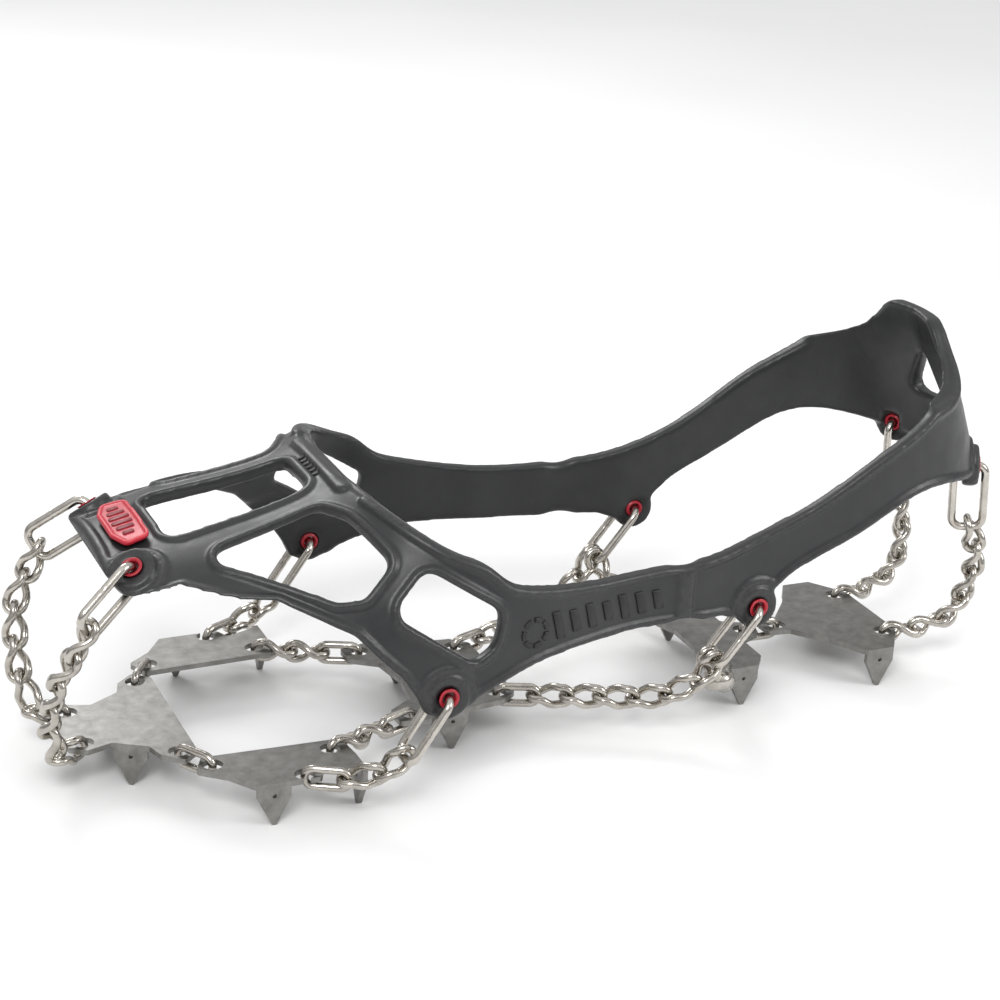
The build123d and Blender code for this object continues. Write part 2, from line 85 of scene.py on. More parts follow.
# harness moulding
HARNESS_GRID = 0.62 * MM        # size of the even faces that the relief is formed in
EVEN_PASSES = 11                # smoothing that evens out the faces before the relief
JOIN_X = -40 * MM               # where the heel shell meets the forefoot shell
JOIN_REACH = 6 * MM
JOIN_PASSES = 60                # smoothing that blends the two shells
SOFTEN_PASSES = 2               # smoothing of the finished relief
BEAD_INNER = 1.9 * MM           # the raised bead along every edge keeps its height to here
BEAD_OUTER = 2.7 * MM           # and has run out here
BOSS_RADIUS = 6.3 * MM          # the round pad at each eyelet
BOSS_GROOVE = 0.7 * MM          # depth of the groove round it
BOSS_HEIGHT = 6 * MM            # a boss shapes the faces this close to it along its axis
PANEL_DROP = 1.0 * MM           # how far the panels lie below the beads
EDGE_ANGLE = math.radians(50)   # a fold sharper than this is an edge of the moulding
EYELET_CLEAR = 3.4 * MM         # no bead this close to an eyelet's middle
BED_Z = 25 * MM                 # below this the outward direction is level
HEEL_CENTRE_X = -112 * MM       # the heel curves round this place

# marks in place of lettering
BELT_MARK_START = 1.0 * MM      # x of the first belt mark, and the marks run towards the heel
BELT_MARK_PITCH = -5.4 * MM
BELT_MARK_Z = 35.0 * MM
BELT_MARK_HEIGHTS = (8.0, 6.4, 7.2, 5.6, 7.2, 6.4, 5.6)
CROSSBAR_MARK_X = 53.4 * MM
CROSSBAR_MARK_YS = (-6.0, -3.6, -1.2, 1.2, 3.6, 6.0)
BADGE_MARKS = ((-8.0, 3.0), (-4.8, 4.6), (-1.6, 5.4), (1.6, 5.4), (4.8, 4.6), (8.0, 3.0))
ABOVE = 0.15                    # marks are dropped on the rubber from this height,
BESIDE = 0.09                   # or from this far out at the side

# badge
BADGE_GRID = 0.3 * MM
BADGE_BEAD = (0.8 * MM, 1.4 * MM)
BADGE_DROP = 0.45 * MM

# wire
RING_CORNER = 2.9 * MM
SEAM_REACH = 0.9 * MM
WIRE_SIDES = 14
CORNER_STEPS = 8
LEG_STEP = 0.7 * MM

# plates
BEND_BEVEL = 1.2 * MM
SHEET_BEVEL = 0.25 * MM
FLAT_ANGLE = math.radians(1.5)  # faces that meet flatter than this are joined
SHEET_EDGE_ANGLE = math.radians(35)
BEND_LENGTH = 5 * MM            # a bend is a level edge longer than this
SPIKE_REACH = 8 * MM            # over a face that goes further down than this

# stage and camera
FLOOR_REACH = 3.0
CAMERA_PLACE = (0.2415, 0.5359, 0.2835)
CAMERA_TARGET = (0.0, 0.0, 0.042)
CAMERA_ROLL = math.radians(2.72)
CAMERA_LENS = 82.5
CAMERA_SHIFT = (0.0108, 0.0307)


# ---------------------------------------------------------------- materials
def start_material(name):
    """A node material and its shader, with the object's own coordinates."""
    material = bpy.data.materials.new(name)
    material.use_nodes = True
    nodes = material.node_tree.nodes
    coordinates = nodes.new("ShaderNodeTexCoord").outputs["Object"]
    return material, nodes["Principled BSDF"], coordinates


def noise(material, coordinates, scale, detail=4.0, roughness=0.6):
    node = material.node_tree.nodes.new("ShaderNodeTexNoise")
    node.inputs["Scale"].default_value = scale
    node.inputs["Detail"].default_value = detail
    node.inputs["Roughness"].default_value = roughness
    material.node_tree.links.new(coordinates, node.inputs["Vector"])
    return node.outputs["Fac"]


def stretched(material, coordinates, scale, turn=(0.0, 0.0, 0.0)):
    """Coordinates squeezed along one way, for brushed lines and scratches."""
    node = material.node_tree.nodes.new("ShaderNodeMapping")
    node.inputs["Scale"].default_value = scale
    node.inputs["Rotation"].default_value = turn
    material.node_tree.links.new(coordinates, node.inputs["Vector"])
    return node.outputs["Vector"]


def ramp(material, factor, low, high, start=0.35, end=0.65):
    """A colour between low and high, as factor goes from start to end."""
    node = material.node_tree.nodes.new("ShaderNodeValToRGB")
    node.color_ramp.elements[0].position = start
    node.color_ramp.elements[1].position = end
    node.color_ramp.elements[0].color = (*low, 1.0)
    node.color_ramp.elements[1].color = (*high, 1.0)
    material.node_tree.links.new(factor, node.inputs["Fac"])
    return node.outputs["Color"]


def spread(material, factor, low, high, start=0.3, end=0.7):
    """A number between low and high, as factor goes from start to end."""
    node = material.node_tree.nodes.new("ShaderNodeMapRange")
    for socket, value in (("From Min", start), ("From Max", end), ("To Min", low), ("To Max", high)):
        node.inputs[socket].default_value = value
    material.node_tree.links.new(factor, node.inputs["Value"])
    return node.outputs["Result"]


def mixed(material, factor, first, second):
    """Two colours mixed by factor."""
    node = material.node_tree.nodes.new("ShaderNodeMix")
    node.data_type = "RGBA"
    links = material.node_tree.links
    links.new(factor, node.inputs["Factor"])
    links.new(first, node.inputs["A"])
    links.new(second, node.inputs["B"])
    return node.outputs["Result"]


def bump(material, height, strength, distance, under=None):
    node = material.node_tree.nodes.new("ShaderNodeBump")
    node.inputs["Strength"].default_value = strength
    node.inputs["Distance"].default_value = distance
    material.node_tree.links.new(height, node.inputs["Height"])
    if under is not None:
        material.node_tree.links.new(under, node.inputs["Normal"])
    return node.outputs["Normal"]


def attribute(material, name):
    node = material.node_tree.nodes.new("ShaderNodeAttribute")
    node.attribute_name = name
    return node.outputs["Fac"]


def rubber(name, dark, light, highlight_colour, rough):
    """Moulded elastomer: faint mottling, fine grain, and a painted highlight on the raised beads."""
    material, shader, coordinates = start_material(name)
    links = material.node_tree.links
    cloud = noise(material, coordinates, 70, 5)
    speck = noise(material, coordinates, 900, 3)
    body = ramp(material, cloud, dark, light)
    # painted highlight: the beads marked in the mesh take a paler, speckled colour
    painted_bead_highlight = ramp(material, speck, light, highlight_colour, 0.4, 0.7)
    bead_highlight_mask = attribute(material, "bead_highlight_weight")
    links.new(mixed(material, bead_highlight_mask, body, painted_bead_highlight), shader.inputs["Base Color"])
    links.new(spread(material, noise(material, coordinates, 160), rough - 0.06, rough + 0.08),
              shader.inputs["Roughness"])
    grain = bump(material, noise(material, coordinates, 3200, 2), 0.16, 0.15 * MM)
    wave = bump(material, noise(material, coordinates, 210, 2), 0.10, 0.5 * MM, grain)
    links.new(wave, shader.inputs["Normal"])
    shader.inputs["Specular IOR Level"].default_value = 0.5
    return material


def steel(name, dark, light, rough_low, rough_high, brushed):
    """Bare steel: handling marks in the gloss, faint stains, and fine drawn lines."""
    material, shader, coordinates = start_material(name)
    links = material.node_tree.links
    stain = noise(material, coordinates, 240, 6, 0.65)
    links.new(ramp(material, stain, dark, light), shader.inputs["Base Color"])
    lines = noise(material, stretched(material, coordinates, (1.0, 9.0, 3.0), (0.3, 0.2, 0.5)),
                  420, 5, 0.7)
    links.new(spread(material, lines, rough_low, rough_high), shader.inputs["Roughness"])
    links.new(bump(material, lines, brushed, 0.12 * MM), shader.inputs["Normal"])
    shader.inputs["Metallic"].default_value = 1.0
    return material


def plain_floor():
    material, shader, coordinates = start_material("pale_floor")
    tone = ramp(material, noise(material, coordinates, 3, 2), (0.80, 0.80, 0.80), (0.83, 0.83, 0.83))
    material.node_tree.links.new(tone, shader.inputs["Base Color"])
    shader.inputs["Roughness"].default_value = 0.85
    return material


# the third colour of each rubber is the painted highlight on its raised beads
HARNESS_RUBBER = rubber("harness_rubber", (0.012, 0.0125, 0.0135), (0.018, 0.0185, 0.0195),
                        (0.034, 0.034, 0.035), 0.38)
MARK_RUBBER = rubber("mark_rubber", (0.007, 0.007, 0.008), (0.011, 0.011, 0.012),
                     (0.018, 0.018, 0.019), 0.5)
BADGE_RUBBER = rubber("badge_rubber", (0.40, 0.010, 0.026), (0.48, 0.016, 0.034),
                      (0.58, 0.040, 0.055), 0.40)
BADGE_MARK_RUBBER = rubber("badge_mark_rubber", (0.16, 0.003, 0.010), (0.22, 0.005, 0.014),
                           (0.28, 0.01, 0.02), 0.46)
GROMMET_RED = rubber("grommet_red", (0.30, 0.008, 0.018), (0.40, 0.012, 0.026),
                     (0.46, 0.03, 0.04), 0.32)
RING_STEEL = steel("ring_steel", (0.44, 0.41, 0.37), (0.60, 0.57, 0.52), 0.13, 0.26, 0.10)
CHAIN_STEEL = steel("chain_steel", (0.38, 0.355, 0.32), (0.56, 0.53, 0.48), 0.14, 0.30, 0.12)
PLATE_STEEL = steel("plate_steel", (0.20, 0.195, 0.185), (0.30, 0.295, 0.28), 0.30, 0.46, 0.30)


# ---------------------------------------------------------------- mesh helpers
def add_object(name, mesh, material, slot, body, *replaced):
    """A finished piece: its mesh, finish, body, and the CAD nodes that it stands for."""
    piece = bpy.data.objects.new(name, mesh)
    bpy.context.scene.collection.objects.link(piece)
    mesh.materials.clear()
    mesh.materials.append(material)
    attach(piece, body)
    if replaced:
        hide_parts(*replaced)
    return piece


def mesh_of(name, points, faces):
    mesh = bpy.data.meshes.new(name)
    mesh.from_pydata([tuple(p) for p in points], [], [tuple(f) for f in faces])
    mesh.update()
    mesh.shade_smooth()
    return mesh


def welded_copy(node):
    """A CAD node's mesh in bmesh, with the seams between its faces closed."""
    solid = bmesh.new()
    solid.from_mesh(frame["nodes"][node].data)
    bmesh.ops.remove_doubles(solid, verts=solid.verts, dist=0.002 * MM)
    solid.normal_update()
    return solid


def applied(mesh, kind, **settings):
    """The mesh after one modifier."""
    holder = bpy.data.objects.new("holder", mesh)
    bpy.context.scene.collection.objects.link(holder)
    modifier = holder.modifiers.new(kind, kind)
    for key, value in settings.items():
        setattr(modifier, key, value)
    graph = bpy.context.evaluated_depsgraph_get()
    result = bpy.data.meshes.new_from_object(holder.evaluated_get(graph))
    bpy.data.objects.remove(holder)
    return result


def remeshed(node, grid):
    """A copy of a CAD node's mesh in small even faces."""
    solid = welded_copy(node)
    mesh = bpy.data.meshes.new(node + "_grid")
    solid.to_mesh(mesh)
    solid.free()
    mesh = applied(mesh, "REMESH", mode="VOXEL", voxel_size=grid, use_smooth_shade=True)
    relax(mesh, EVEN_PASSES)
    return mesh


def coordinates_of(mesh):
    points = np.zeros(len(mesh.vertices) * 3)
    mesh.vertices.foreach_get("co", points)
    return points.reshape(-1, 3)


def normals_of(mesh):
    normals = np.zeros(len(mesh.vertices) * 3)
    mesh.vertex_normals.foreach_get("vector", normals)
    return normals.reshape(-1, 3)


def relax(mesh, passes, weight=None):
    """Moves each vertex towards the middle of its neighbours, as far as its weight says."""
    points = coordinates_of(mesh)
    count = len(points)
    ends = np.zeros(len(mesh.edges) * 2, np.int64)
    mesh.edges.foreach_get("vertices", ends)
    first, second = ends.reshape(-1, 2).T
    share = 0.5 if weight is None else 0.5 * weight[:, None]
    neighbours = np.bincount(ends, minlength=count)[:, None]
    for _ in range(passes):
        total = np.stack([np.bincount(first, points[second, axis], count)
                          + np.bincount(second, points[first, axis], count)
                          for axis in range(3)], axis=1)
        points += share * (total / neighbours - points)
    mesh.vertices.foreach_set("co", points.ravel())
    mesh.update()


def unit(vectors):
    return vectors / np.maximum(np.linalg.norm(vectors, axis=-1, keepdims=True), 1e-12)


def smooth_step(start, end, value):
    share = np.clip((value - start) / (end - start), 0, 1)
    return share * share * (3 - 2 * share)


def outward(points):
    """The direction away from the foot at each point."""
    away = points.copy()
    away[:, 0] = np.minimum(points[:, 0] - HEEL_CENTRE_X, 0)
    away[:, 2] = np.where(points[:, 0] > JOIN_X, np.maximum(points[:, 2] - BED_Z, 0), 0)
    return unit(away)


def edge_samples(node, facing, skip, spacing=0.4 * MM):
    """Points along the sharp edges that border the faces which facing() accepts."""
    solid = welded_copy(node)
    samples = []
    for edge in solid.edges:
        if len(edge.link_faces) != 2 or edge.calc_face_angle(0) < EDGE_ANGLE:
            continue
        start, end = (v.co for v in edge.verts)
        middle = np.array([(start + end) / 2])
        if not any(facing(middle, np.array([f.normal]))[0] > 0.5 for f in edge.link_faces):
            continue
        if any(((start + end) / 2 - place).length < EYELET_CLEAR for place in skip):
            continue
        steps = max(int((end - start).length / spacing), 1)
        samples += [start.lerp(end, i / steps) for i in range(steps + 1)]
    solid.free()
    return samples


def boss_relief(points, normals):
    """How much of the panel's drop is left at each point near a boss, and the boss's groove."""
    keep = np.ones(len(points))
    groove = np.zeros(len(points))
    for centre, axis in zip(eyelets, eyelet_axes):
        reach = points - np.array(centre)
        height = reach @ axis
        radius = np.linalg.norm(reach - np.outer(height, axis), axis=1)
        near = (np.abs(height) < BOSS_HEIGHT) & (normals @ axis > 0.3)
        keep = np.where(near, np.minimum(keep, smooth_step(0.8, 1.1, radius / BOSS_RADIUS)), keep)
        ring = np.exp(-((radius - BOSS_RADIUS - 0.5 * MM) / (0.55 * MM)) ** 2)
        dish = 0.35 * smooth_step(0.85, 0.6, radius / BOSS_RADIUS)
        groove = np.where(near, np.maximum(groove, ring + dish), groove)
    return keep, groove


def form_relief(mesh, samples, facing, bead, drop, bosses=False):
    """Sinks the faces between the beads, and marks the beads in a mesh attribute that paints a
    highlight on them.
    """
    tree = KDTree(len(samples))
    for number, sample in enumerate(samples):
        tree.insert(sample, number)
    tree.balance()
    points = coordinates_of(mesh)
    normals = normals_of(mesh)
    distance = np.array([tree.find(p)[2] for p in points])
    face = smooth_step(0.25, 0.6, facing(points, normals))
    sunk = smooth_step(bead[0], bead[1], distance) * face
    depth = sunk * drop
    if bosses:
        keep, groove = boss_relief(points, normals)
        sunk *= keep
        depth = np.maximum(depth * keep, groove * face * BOSS_GROOVE)
    points -= normals * depth[:, None]
    mesh.vertices.foreach_set("co", points.ravel())
    # weight of the painted highlight: full on the beads, none on the sunk panels
    bead_highlight_weight = mesh.attributes.new("bead_highlight_weight", "FLOAT", "POINT")
    bead_highlight_weight.data.foreach_set("value", (face * (1 - sunk) * 0.8).astype(np.float32))
    mesh.update()


# ---------------------------------------------------------------- frame readings
def islands(node):
    """The vertices of each separate solid in a CAD node, as arrays."""
    solid = welded_copy(node)
    left = set(solid.verts)
    found = []
    while left:
        group = [left.pop()]
        for vertex in group:
            for edge in vertex.link_edges:
                other = edge.other_vert(vertex)
                if other in left:
                    left.remove(other)
                    group.append(other)
        found.append(np.array([v.co for v in group]))
    solid.free()
    return sorted(found, key=lambda points: tuple(points.mean(0).round(5)))


def main_axes(points):
    """The middle of a solid, its axes from longest to shortest, and its size along them."""
    centred = points - points.mean(0)
    values, vectors = np.linalg.eigh(centred.T @ centred)
    axes = vectors.T[::-1]
    low, high = (points @ axes.T).min(0), (points @ axes.T).max(0)
    return ((low + high) / 2) @ axes, axes, high - low


def odd_axis(points):
    """A bush's middle and its axis, which is the one whose length differs from the others."""
    centre, axes, size = main_axes(points)
    odd = max(range(3), key=lambda i: min(abs(size[i] - size[j]) for j in range(3) if j != i))
    axis = axes[odd]
    away = outward(np.array([centre]))[0]
    return centre, axis if np.dot(axis, away) > 0 else -axis


grommet_solids = islands("grommets")
eyelets = [Vector(odd_axis(points)[0]) for points in grommet_solids]
eyelet_axes = [odd_axis(points)[1] for points in grommet_solids]


# ---------------------------------------------------------------- harness
def harness_facing(points, normals):
    return np.sum(outward(points) * normals, axis=1)


def make_harness():
    mesh = remeshed("harness", HARNESS_GRID)
    from_join = np.abs(coordinates_of(mesh)[:, 0] - JOIN_X)
    relax(mesh, JOIN_PASSES, smooth_step(JOIN_REACH, 0, from_join))
    samples = edge_samples("harness", harness_facing, eyelets)
    form_relief(mesh, samples, harness_facing, (BEAD_INNER, BEAD_OUTER), PANEL_DROP, bosses=True)
    relax(mesh, SOFTEN_PASSES)
    mesh.name = "moulded_harness"
    mesh.shade_smooth()
    return add_object("moulded_harness", mesh, HARNESS_RUBBER, "harness_rubber",
                      "harness_frame", "harness")


def surface_of(piece):
    return BVHTree.FromObject(piece, bpy.context.evaluated_depsgraph_get())


def raised_shapes(name, outlines, surface, lift, drop, height, material, slot):
    """Low flat-topped shapes that stand on a surface. Each outline is a list of (a, b); lift()
    turns one into a point above the surface, from which drop leads down to it."""
    points, faces = [], []
    for outline in outlines:
        middle = np.mean(outline, axis=0)
        first = len(points)
        for inset, rise in ((0.0, -0.4 * MM), (0.0, 0.6 * height), (0.2 * MM, height)):
            for pair in outline:
                reach = np.array(pair) - middle
                pair = middle + reach * (1 - inset / np.linalg.norm(reach))
                hit, normal, _, _ = surface.ray_cast(Vector(lift(*pair)), Vector(drop))
                points.append(hit + normal * rise)
        count = len(outline)
        for ring in range(2):
            for i in range(count):
                j = (i + 1) % count
                a = first + ring * count
                faces.append((a + i, a + j, a + count + j, a + count + i))
        faces.append(tuple(first + 2 * count + i for i in range(count)))
    mesh = mesh_of(name, points, faces)
    solid = bmesh.new()
    solid.from_mesh(mesh)
    bmesh.ops.holes_fill(solid, edges=[e for e in solid.edges if e.is_boundary])
    bmesh.ops.recalc_face_normals(solid, faces=solid.faces)
    solid.to_mesh(mesh)
    solid.free()
    mesh.set_sharp_from_angle(angle=EDGE_ANGLE)
    return add_object(name, mesh, material, slot, "harness_frame")


def slanted_bar(centre, width, height, slant, corner=0.35 * MM):
    """Outline of a bar that leans by slant, with rounded corners."""
    outline = []
    for sx, sy, start in ((1, 1, 0), (-1, 1, 90), (-1, -1, 180), (1, -1, 270)):
        for i in range(4):
            angle = math.radians(start + 30 * i)
            a = sx * (width / 2 - corner) + corner * math.cos(angle)
            b = sy * (height / 2 - corner) + corner * math.sin(angle)
            outline.append((centre[0] + a + slant * b, centre[1] + b))
    return outline


def ring_segments(centre, radius, thickness, count):
    """Outlines of the short curved dashes that make up a broken circle."""
    outlines = []
    for number in range(count):
        middle = 2 * math.pi * number / count
        sweep = [middle + math.pi / count * 0.72 * (i / 3 - 1) for i in range(7)]
        outer = [(radius + thickness / 2, angle) for angle in sweep]
        inner = [(radius - thickness / 2, angle) for angle in reversed(sweep)]
        outlines.append([(centre[0] + r * math.cos(a), centre[1] + r * math.sin(a))
                         for r, a in outer + inner])
    return outlines


def belt_mark_outlines():
    """A broken ring and a row of slanted bars along the side belt, as (x, z)."""
    outlines = ring_segments((BELT_MARK_START + 7.5 * MM, 34.6 * MM), 3.6 * MM, 1.3 * MM, 7)
    for number, height in enumerate(BELT_MARK_HEIGHTS):
        centre = (BELT_MARK_START + number * BELT_MARK_PITCH, BELT_MARK_Z)
        outlines.append(slanted_bar(centre, 2.6 * MM, height * MM, 0.25))
    return outlines


def make_belt_marks(harness_surface):
    for side, way in (("left", 1), ("right", -1)):
        raised_shapes("belt_mark_" + side, belt_mark_outlines(), harness_surface,
                      lambda x, z: (x, way * BESIDE, z), (0, -way, 0), 0.45 * MM,
                      MARK_RUBBER, "harness_rubber")


def make_crossbar_marks(harness_surface):
    outlines = [slanted_bar((CROSSBAR_MARK_X, y * MM), 2.0 * MM, 1.1 * MM, 0.3, 0.2 * MM)
                for y in CROSSBAR_MARK_YS]
    raised_shapes("crossbar_mark", outlines, harness_surface, lambda x, y: (x, y, ABOVE),
                  (0, 0, -1), 0.35 * MM, MARK_RUBBER, "harness_rubber")


# ---------------------------------------------------------------- badge and grommets
def badge_facing(points, normals):
    return normals[:, 2]


def make_badge():
    mesh = remeshed("badge", BADGE_GRID)
    samples = edge_samples("badge", badge_facing, [])
    form_relief(mesh, samples, badge_facing, BADGE_BEAD, BADGE_DROP)
    relax(mesh, SOFTEN_PASSES)
    mesh.name = "raised_badge"
    mesh.shade_smooth()
    piece = add_object("raised_badge", mesh, BADGE_RUBBER, "badge_rubber",
                       "harness_frame", "badge")
    low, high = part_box("badge")
    middle_x = (low.x + high.x) / 2
    outlines = [slanted_bar((middle_x, y * MM), length * MM, 1.7 * MM, 0.0, 0.45 * MM)
                for y, length in BADGE_MARKS]
    raised_shapes("badge_mark", outlines, surface_of(piece), lambda x, y: (x, y, ABOVE),
                  (0, 0, -1), 0.35 * MM, BADGE_MARK_RUBBER, "badge_rubber")


def lathe(profile, centre, axis, sides=40):
    """Points and faces of a closed (radius, height) profile turned round an axis."""
    axis = Vector(axis).normalized()
    across = axis.orthogonal().normalized()
    other = axis.cross(across)
    points, faces = [], []
    for i in range(sides):
        angle = 2 * math.pi * i / sides
        ray = across * math.cos(angle) + other * math.sin(angle)
        points += [Vector(centre) + ray * radius + axis * height for radius, height in profile]
    count = len(profile)
    for i in range(sides):
        for j in range(count):
            k = (j + 1) % count
            a, b = i * count, ((i + 1) % sides) * count
            faces.append((a + j, b + j, b + k, a + k))
    return points, faces


def make_grommets():
    """Flanged bushes with rounded lips."""
    points, faces = [], []
    for solid in grommet_solids:
        centre, axis = odd_axis(solid)
        along = (solid - centre) @ axis
        radii = np.linalg.norm(solid - centre - np.outer(along, axis), axis=1)
        hole, bush, lip = radii.min(), np.median(radii[along < 0].max()), radii.max()
        top = along.max()
        profile = [(hole, -top), (bush, -top), (bush, top - 0.35 * MM), (lip, top - 0.30 * MM),
                   (lip, top - 0.12 * MM), (lip - 0.25 * MM, top), (hole + 0.45 * MM, top),
                   (hole + 0.12 * MM, top - 0.15 * MM), (hole, top - 0.5 * MM)]
        more, quads = lathe(profile, centre, axis)
        faces += [tuple(len(points) + v for v in quad) for quad in quads]
        points += more
    mesh = mesh_of("flanged_grommets", points, faces)
    add_object("flanged_grommets", mesh, GROMMET_RED, "grommet_red", "harness_frame", "grommets")


# ---------------------------------------------------------------- wire
def loop_outline(length, width, corner):
    """Points (along, across) round a centred loop with rounded corners."""
    a, b = length / 2 - corner, width / 2 - corner
    outline = []
    for x, y, start in ((a, b, 0), (-a, b, 90), (-a, -b, 180), (a, -b, 270)):
        for step in range(CORNER_STEPS + 1):
            angle = math.radians(start + 90 * step / CORNER_STEPS)
            outline.append((x + corner * math.cos(angle), y + corner * math.sin(angle)))
    even = []
    for (x, y), (u, v) in zip(outline, outline[1:] + outline[:1]):
        steps = round(math.hypot(u - x, v - y) / LEG_STEP + 0.5)
        if math.hypot(u - x, v - y) > 0.01 * MM:
            even += [(x + (u - x) * i / steps, y + (v - y) * i / steps) for i in range(steps)]
    return even


def tube(path, radii):
    """Points and faces of a round wire that follows a closed path."""
    path = np.array(path)
    count = len(path)
    tangents = unit(np.roll(path, -1, 0) - np.roll(path, 1, 0))
    across = np.array(Vector(tangents[0]).orthogonal().normalized())
    frames = []
    for i in range(count + 1):
        tangent = tangents[i % count]
        across = unit(across - tangent * (across @ tangent))
        frames.append(across)
    turn = math.atan2(np.cross(frames[0], frames[-1]) @ tangents[0], frames[0] @ frames[-1])
    points, faces = [], []
    for i in range(count):
        other = np.cross(tangents[i], frames[i])
        for side in range(WIRE_SIDES):
            angle = 2 * math.pi * side / WIRE_SIDES - turn * i / count
            ray = frames[i] * math.cos(angle) + other * math.sin(angle)
            points.append(path[i] + ray * radii[i])
            a, b = i * WIRE_SIDES, ((i + 1) % count) * WIRE_SIDES
            k = (side + 1) % WIRE_SIDES
            faces.append((a + side, a + k, b + k, b + side))
    return points, faces


def make_ring(node):
    """A welded wire ring, with its seam on the leg outside the rubber."""
    centre, (along, across, _), (length, width, wire) = main_axes(islands(node)[0])
    if np.dot(across, outward(np.array([centre]))[0]) < 0:
        across = -across
    outline = loop_outline(length - wire, width - wire, RING_CORNER)
    path = [centre + along * u + across * v for u, v in outline]
    radii = []
    for u, v in outline:
        near = abs(u) / SEAM_REACH if v > 0 else 2
        swell = 0.045 * math.cos(math.pi * min(near, 1) / 2) if near < 1 else 0.0
        groove = 0.13 if near < 0.35 else 0.0
        radii.append(wire / 2 * (1 + swell - groove))
    points, faces = tube(path, radii)
    mesh = mesh_of("welded_" + node, points, faces)
    add_object("welded_" + node, mesh, RING_STEEL, "ring_steel", node, node)


def twisted_loop(centre, heading, side, size, turn, start_turn):
    """A wire link whose far end is turned about its length from its near end."""
    length, width, wire = size
    bend = (width - wire) / 2
    normal = np.cross(heading, side)
    path = []
    reach = (length - wire) / 2 - bend
    for u, v in loop_outline(length - wire, width - wire, bend * 0.999):
        angle = start_turn + turn * smooth_step(-reach, reach, u)
        path.append(centre + heading * u + (side * math.cos(angle) + normal * math.sin(angle)) * v)
    return tube(path, [wire / 2] * len(path))


def make_chain(nodes, start):
    """The links of one run, in order from start. Every link has a quarter turn, apart from a
    last link that has to stand upright in its plate's hole."""
    loops = []
    here = np.array(start)
    for node in nodes:
        waiting = [main_axes(points) for points in islands(node)]
        while waiting:
            nearest = min(waiting, key=lambda loop: np.linalg.norm(loop[0] - here))
            waiting = [loop for loop in waiting if loop is not nearest]
            loops.append((node, *nearest))
            here = nearest[0]
    made = {node: ([], []) for node in nodes}
    for number, (node, centre, axes, size) in enumerate(loops):
        later = min(number + 1, len(loops) - 1)
        way = loops[later][1] - loops[later - 1][1] if len(loops) > 1 else axes[0]
        heading = axes[0] if np.dot(axes[0], way) > 0 else -axes[0]
        upright_end = number == len(loops) - 1 and number % 2 == 0
        turn = 0.0 if upright_end else math.pi / 2
        start_turn = 0.0 if number % 2 == 0 else -math.pi / 2
        more, quads = twisted_loop(centre, heading, axes[1], size, turn, start_turn)
        points, faces = made[node]
        faces += [tuple(len(points) + v for v in quad) for quad in quads]
        points += more
    for node, (points, faces) in made.items():
        mesh = mesh_of("curb_" + node, points, faces)
        add_object("curb_" + node, mesh, CHAIN_STEEL, "chain_steel", node, node)


def make_hardware():
    middle = {node: sum(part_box(node), Vector()) / 2 for node in frame["nodes"]}
    for side in ("left", "right"):
        for run in ("front", "ball", "arch", "heel"):
            ring = f"ring_{run}_{side}"
            make_ring(ring)
            links = sorted(n for n in frame["nodes"] if n.startswith(f"{run}_{side}_link_"))
            ends = f"{run}_{side}_end_links"
            make_chain(links + ([ends] if ends in frame["nodes"] else []), middle[ring])
        # the tie's second and third links are fused in the CAD, so they are read as one large link
        make_chain([f"arch_to_heel_{side}_end_links"], middle["ring_arch_" + side])
        make_chain([f"ball_to_middle_{side}_end_links"], middle["ball_plate_" + side])
        make_chain([f"toe_to_ball_link_{side}"], middle["toe_plate"])
    make_chain(["heel_to_heel_link"], middle["heel_front_plate"])


# ---------------------------------------------------------------- plates
def make_plate(node):
    """Bent sheet with softened edges and a round bend above each spike."""
    solid = welded_copy(node)
    bmesh.ops.dissolve_limit(solid, angle_limit=FLAT_ANGLE, verts=solid.verts,
                             edges=solid.edges)
    solid.normal_update()
    top = max(v.co.z for v in solid.verts)
    weight = solid.edges.layers.float.new("bevel_weight_edge")
    for edge in solid.edges:
        if len(edge.link_faces) != 2 or edge.calc_face_angle(0) < SHEET_EDGE_ANGLE:
            continue
        level = all(abs(v.co.z - top) < 0.01 * MM for v in edge.verts)
        blade = any(min(v.co.z for v in f.verts) < top - SPIKE_REACH and abs(f.normal.z) < 0.1
                    for f in edge.link_faces)
        bend = level and blade and edge.calc_length() > BEND_LENGTH
        edge[weight] = 1.0 if bend else SHEET_BEVEL / BEND_BEVEL
    mesh = bpy.data.meshes.new("bent_" + node)
    solid.to_mesh(mesh)
    solid.free()
    mesh.shade_smooth()
    mesh = applied(mesh, "BEVEL", width=BEND_BEVEL, segments=3, limit_method="WEIGHT")
    mesh.shade_smooth()
    mesh = applied(mesh, "WEIGHTED_NORMAL", weight=100, keep_sharp=False)
    mesh.name = "bent_" + node
    add_object("bent_" + node, mesh, PLATE_STEEL, "plate_steel", node, node)


# ---------------------------------------------------------------- stage
def add_light(name, place, target, size, watts, colour=(1, 1, 1)):
    data = bpy.data.lights.new(name, "AREA")
    data.size = size
    data.energy = watts
    data.color = colour
    light = bpy.data.objects.new(name, data)
    light.location = place
    light.rotation_euler = (Vector(target) - Vector(place)).to_track_quat("-Z", "Y").to_euler()
    bpy.context.scene.collection.objects.link(light)


def make_floor():
    floor_z = cad_low.z - 0.02 * MM
    corners = [(x * FLOOR_REACH, y * FLOOR_REACH, floor_z)
               for x, y in ((-1, -1), (1, -1), (1, 1), (-1, 1))]
    mesh = mesh_of("floor", corners, [(0, 1, 2, 3)])
    mesh.materials.append(plain_floor())
    floor = bpy.data.objects.new("floor", mesh)
    bpy.context.scene.collection.objects.link(floor)


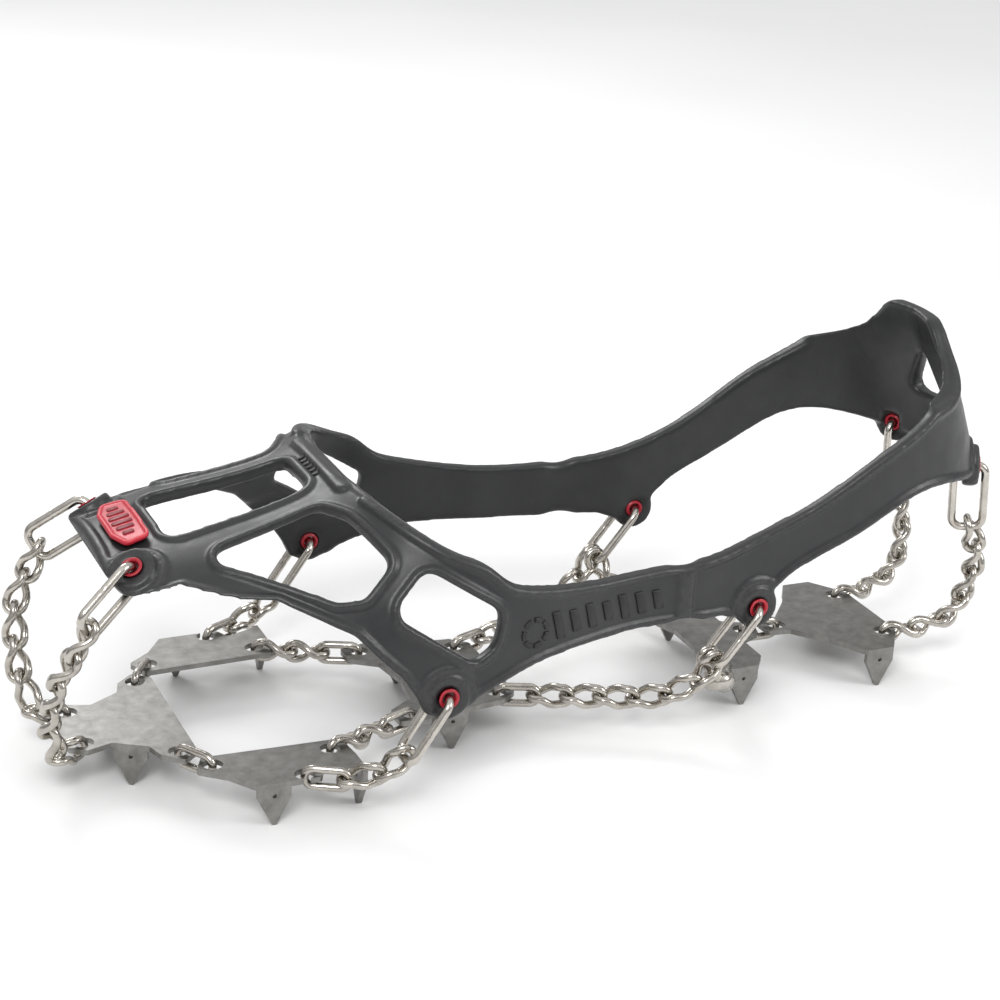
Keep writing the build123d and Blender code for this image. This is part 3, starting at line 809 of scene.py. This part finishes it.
def make_world():
    """Soft grey light from below that turns white overhead."""
    world = bpy.data.worlds.new("studio")
    world.use_nodes = True
    nodes, links = world.node_tree.nodes, world.node_tree.links
    split = nodes.new("ShaderNodeSeparateXYZ")
    links.new(nodes.new("ShaderNodeTexCoord").outputs["Generated"], split.inputs["Vector"])
    sky = nodes.new("ShaderNodeValToRGB")
    sky.color_ramp.elements[0].position = 0.02
    sky.color_ramp.elements[0].color = (0.30, 0.30, 0.31, 1)
    sky.color_ramp.elements[1].position = 0.75
    sky.color_ramp.elements[1].color = (1.0, 1.0, 1.0, 1)
    links.new(split.outputs["Z"], sky.inputs["Fac"])
    links.new(sky.outputs["Color"], nodes["Background"].inputs["Color"])
    nodes["Background"].inputs["Strength"].default_value = 0.95
    bpy.context.scene.world = world


def make_stage():
    make_floor()
    make_world()
    add_light("key", (0.45, 0.75, 0.9), (0, 0, 0.04), 0.4, 7)
    add_light("side", (-0.75, 0.6, 0.5), (-0.05, 0, 0.04), 0.35, 3.5)
    add_light("back", (0.1, -0.9, 0.7), (0, 0, 0.05), 0.4, 4)
    bpy.context.scene.view_settings.view_transform = "Standard"


def make_camera():
    data = bpy.data.cameras.new("camera")
    data.sensor_width = 36.0
    data.lens = CAMERA_LENS
    data.shift_x, data.shift_y = CAMERA_SHIFT
    data.clip_start = 0.01
    camera = bpy.data.objects.new("camera", data)
    back = (Vector(CAMERA_PLACE) - Vector(CAMERA_TARGET)).normalized()
    right = Vector((0, 0, 1)).cross(back).normalized()
    up = back.cross(right)
    across = right * math.cos(CAMERA_ROLL) + up * math.sin(CAMERA_ROLL)
    upward = up * math.cos(CAMERA_ROLL) - right * math.sin(CAMERA_ROLL)
    turn = Matrix((across, upward, back)).transposed()
    camera.matrix_world = Matrix.Translation(CAMERA_PLACE) @ turn.to_4x4()
    bpy.context.scene.collection.objects.link(camera)
    bpy.context.scene.camera = camera


harness_surface = surface_of(make_harness())
make_belt_marks(harness_surface)
make_crossbar_marks(harness_surface)
make_badge()
make_grommets()
make_hardware()
for plate in sorted(n for n in frame["nodes"] if "plate" in n):
    make_plate(plate)
make_stage()
make_camera()
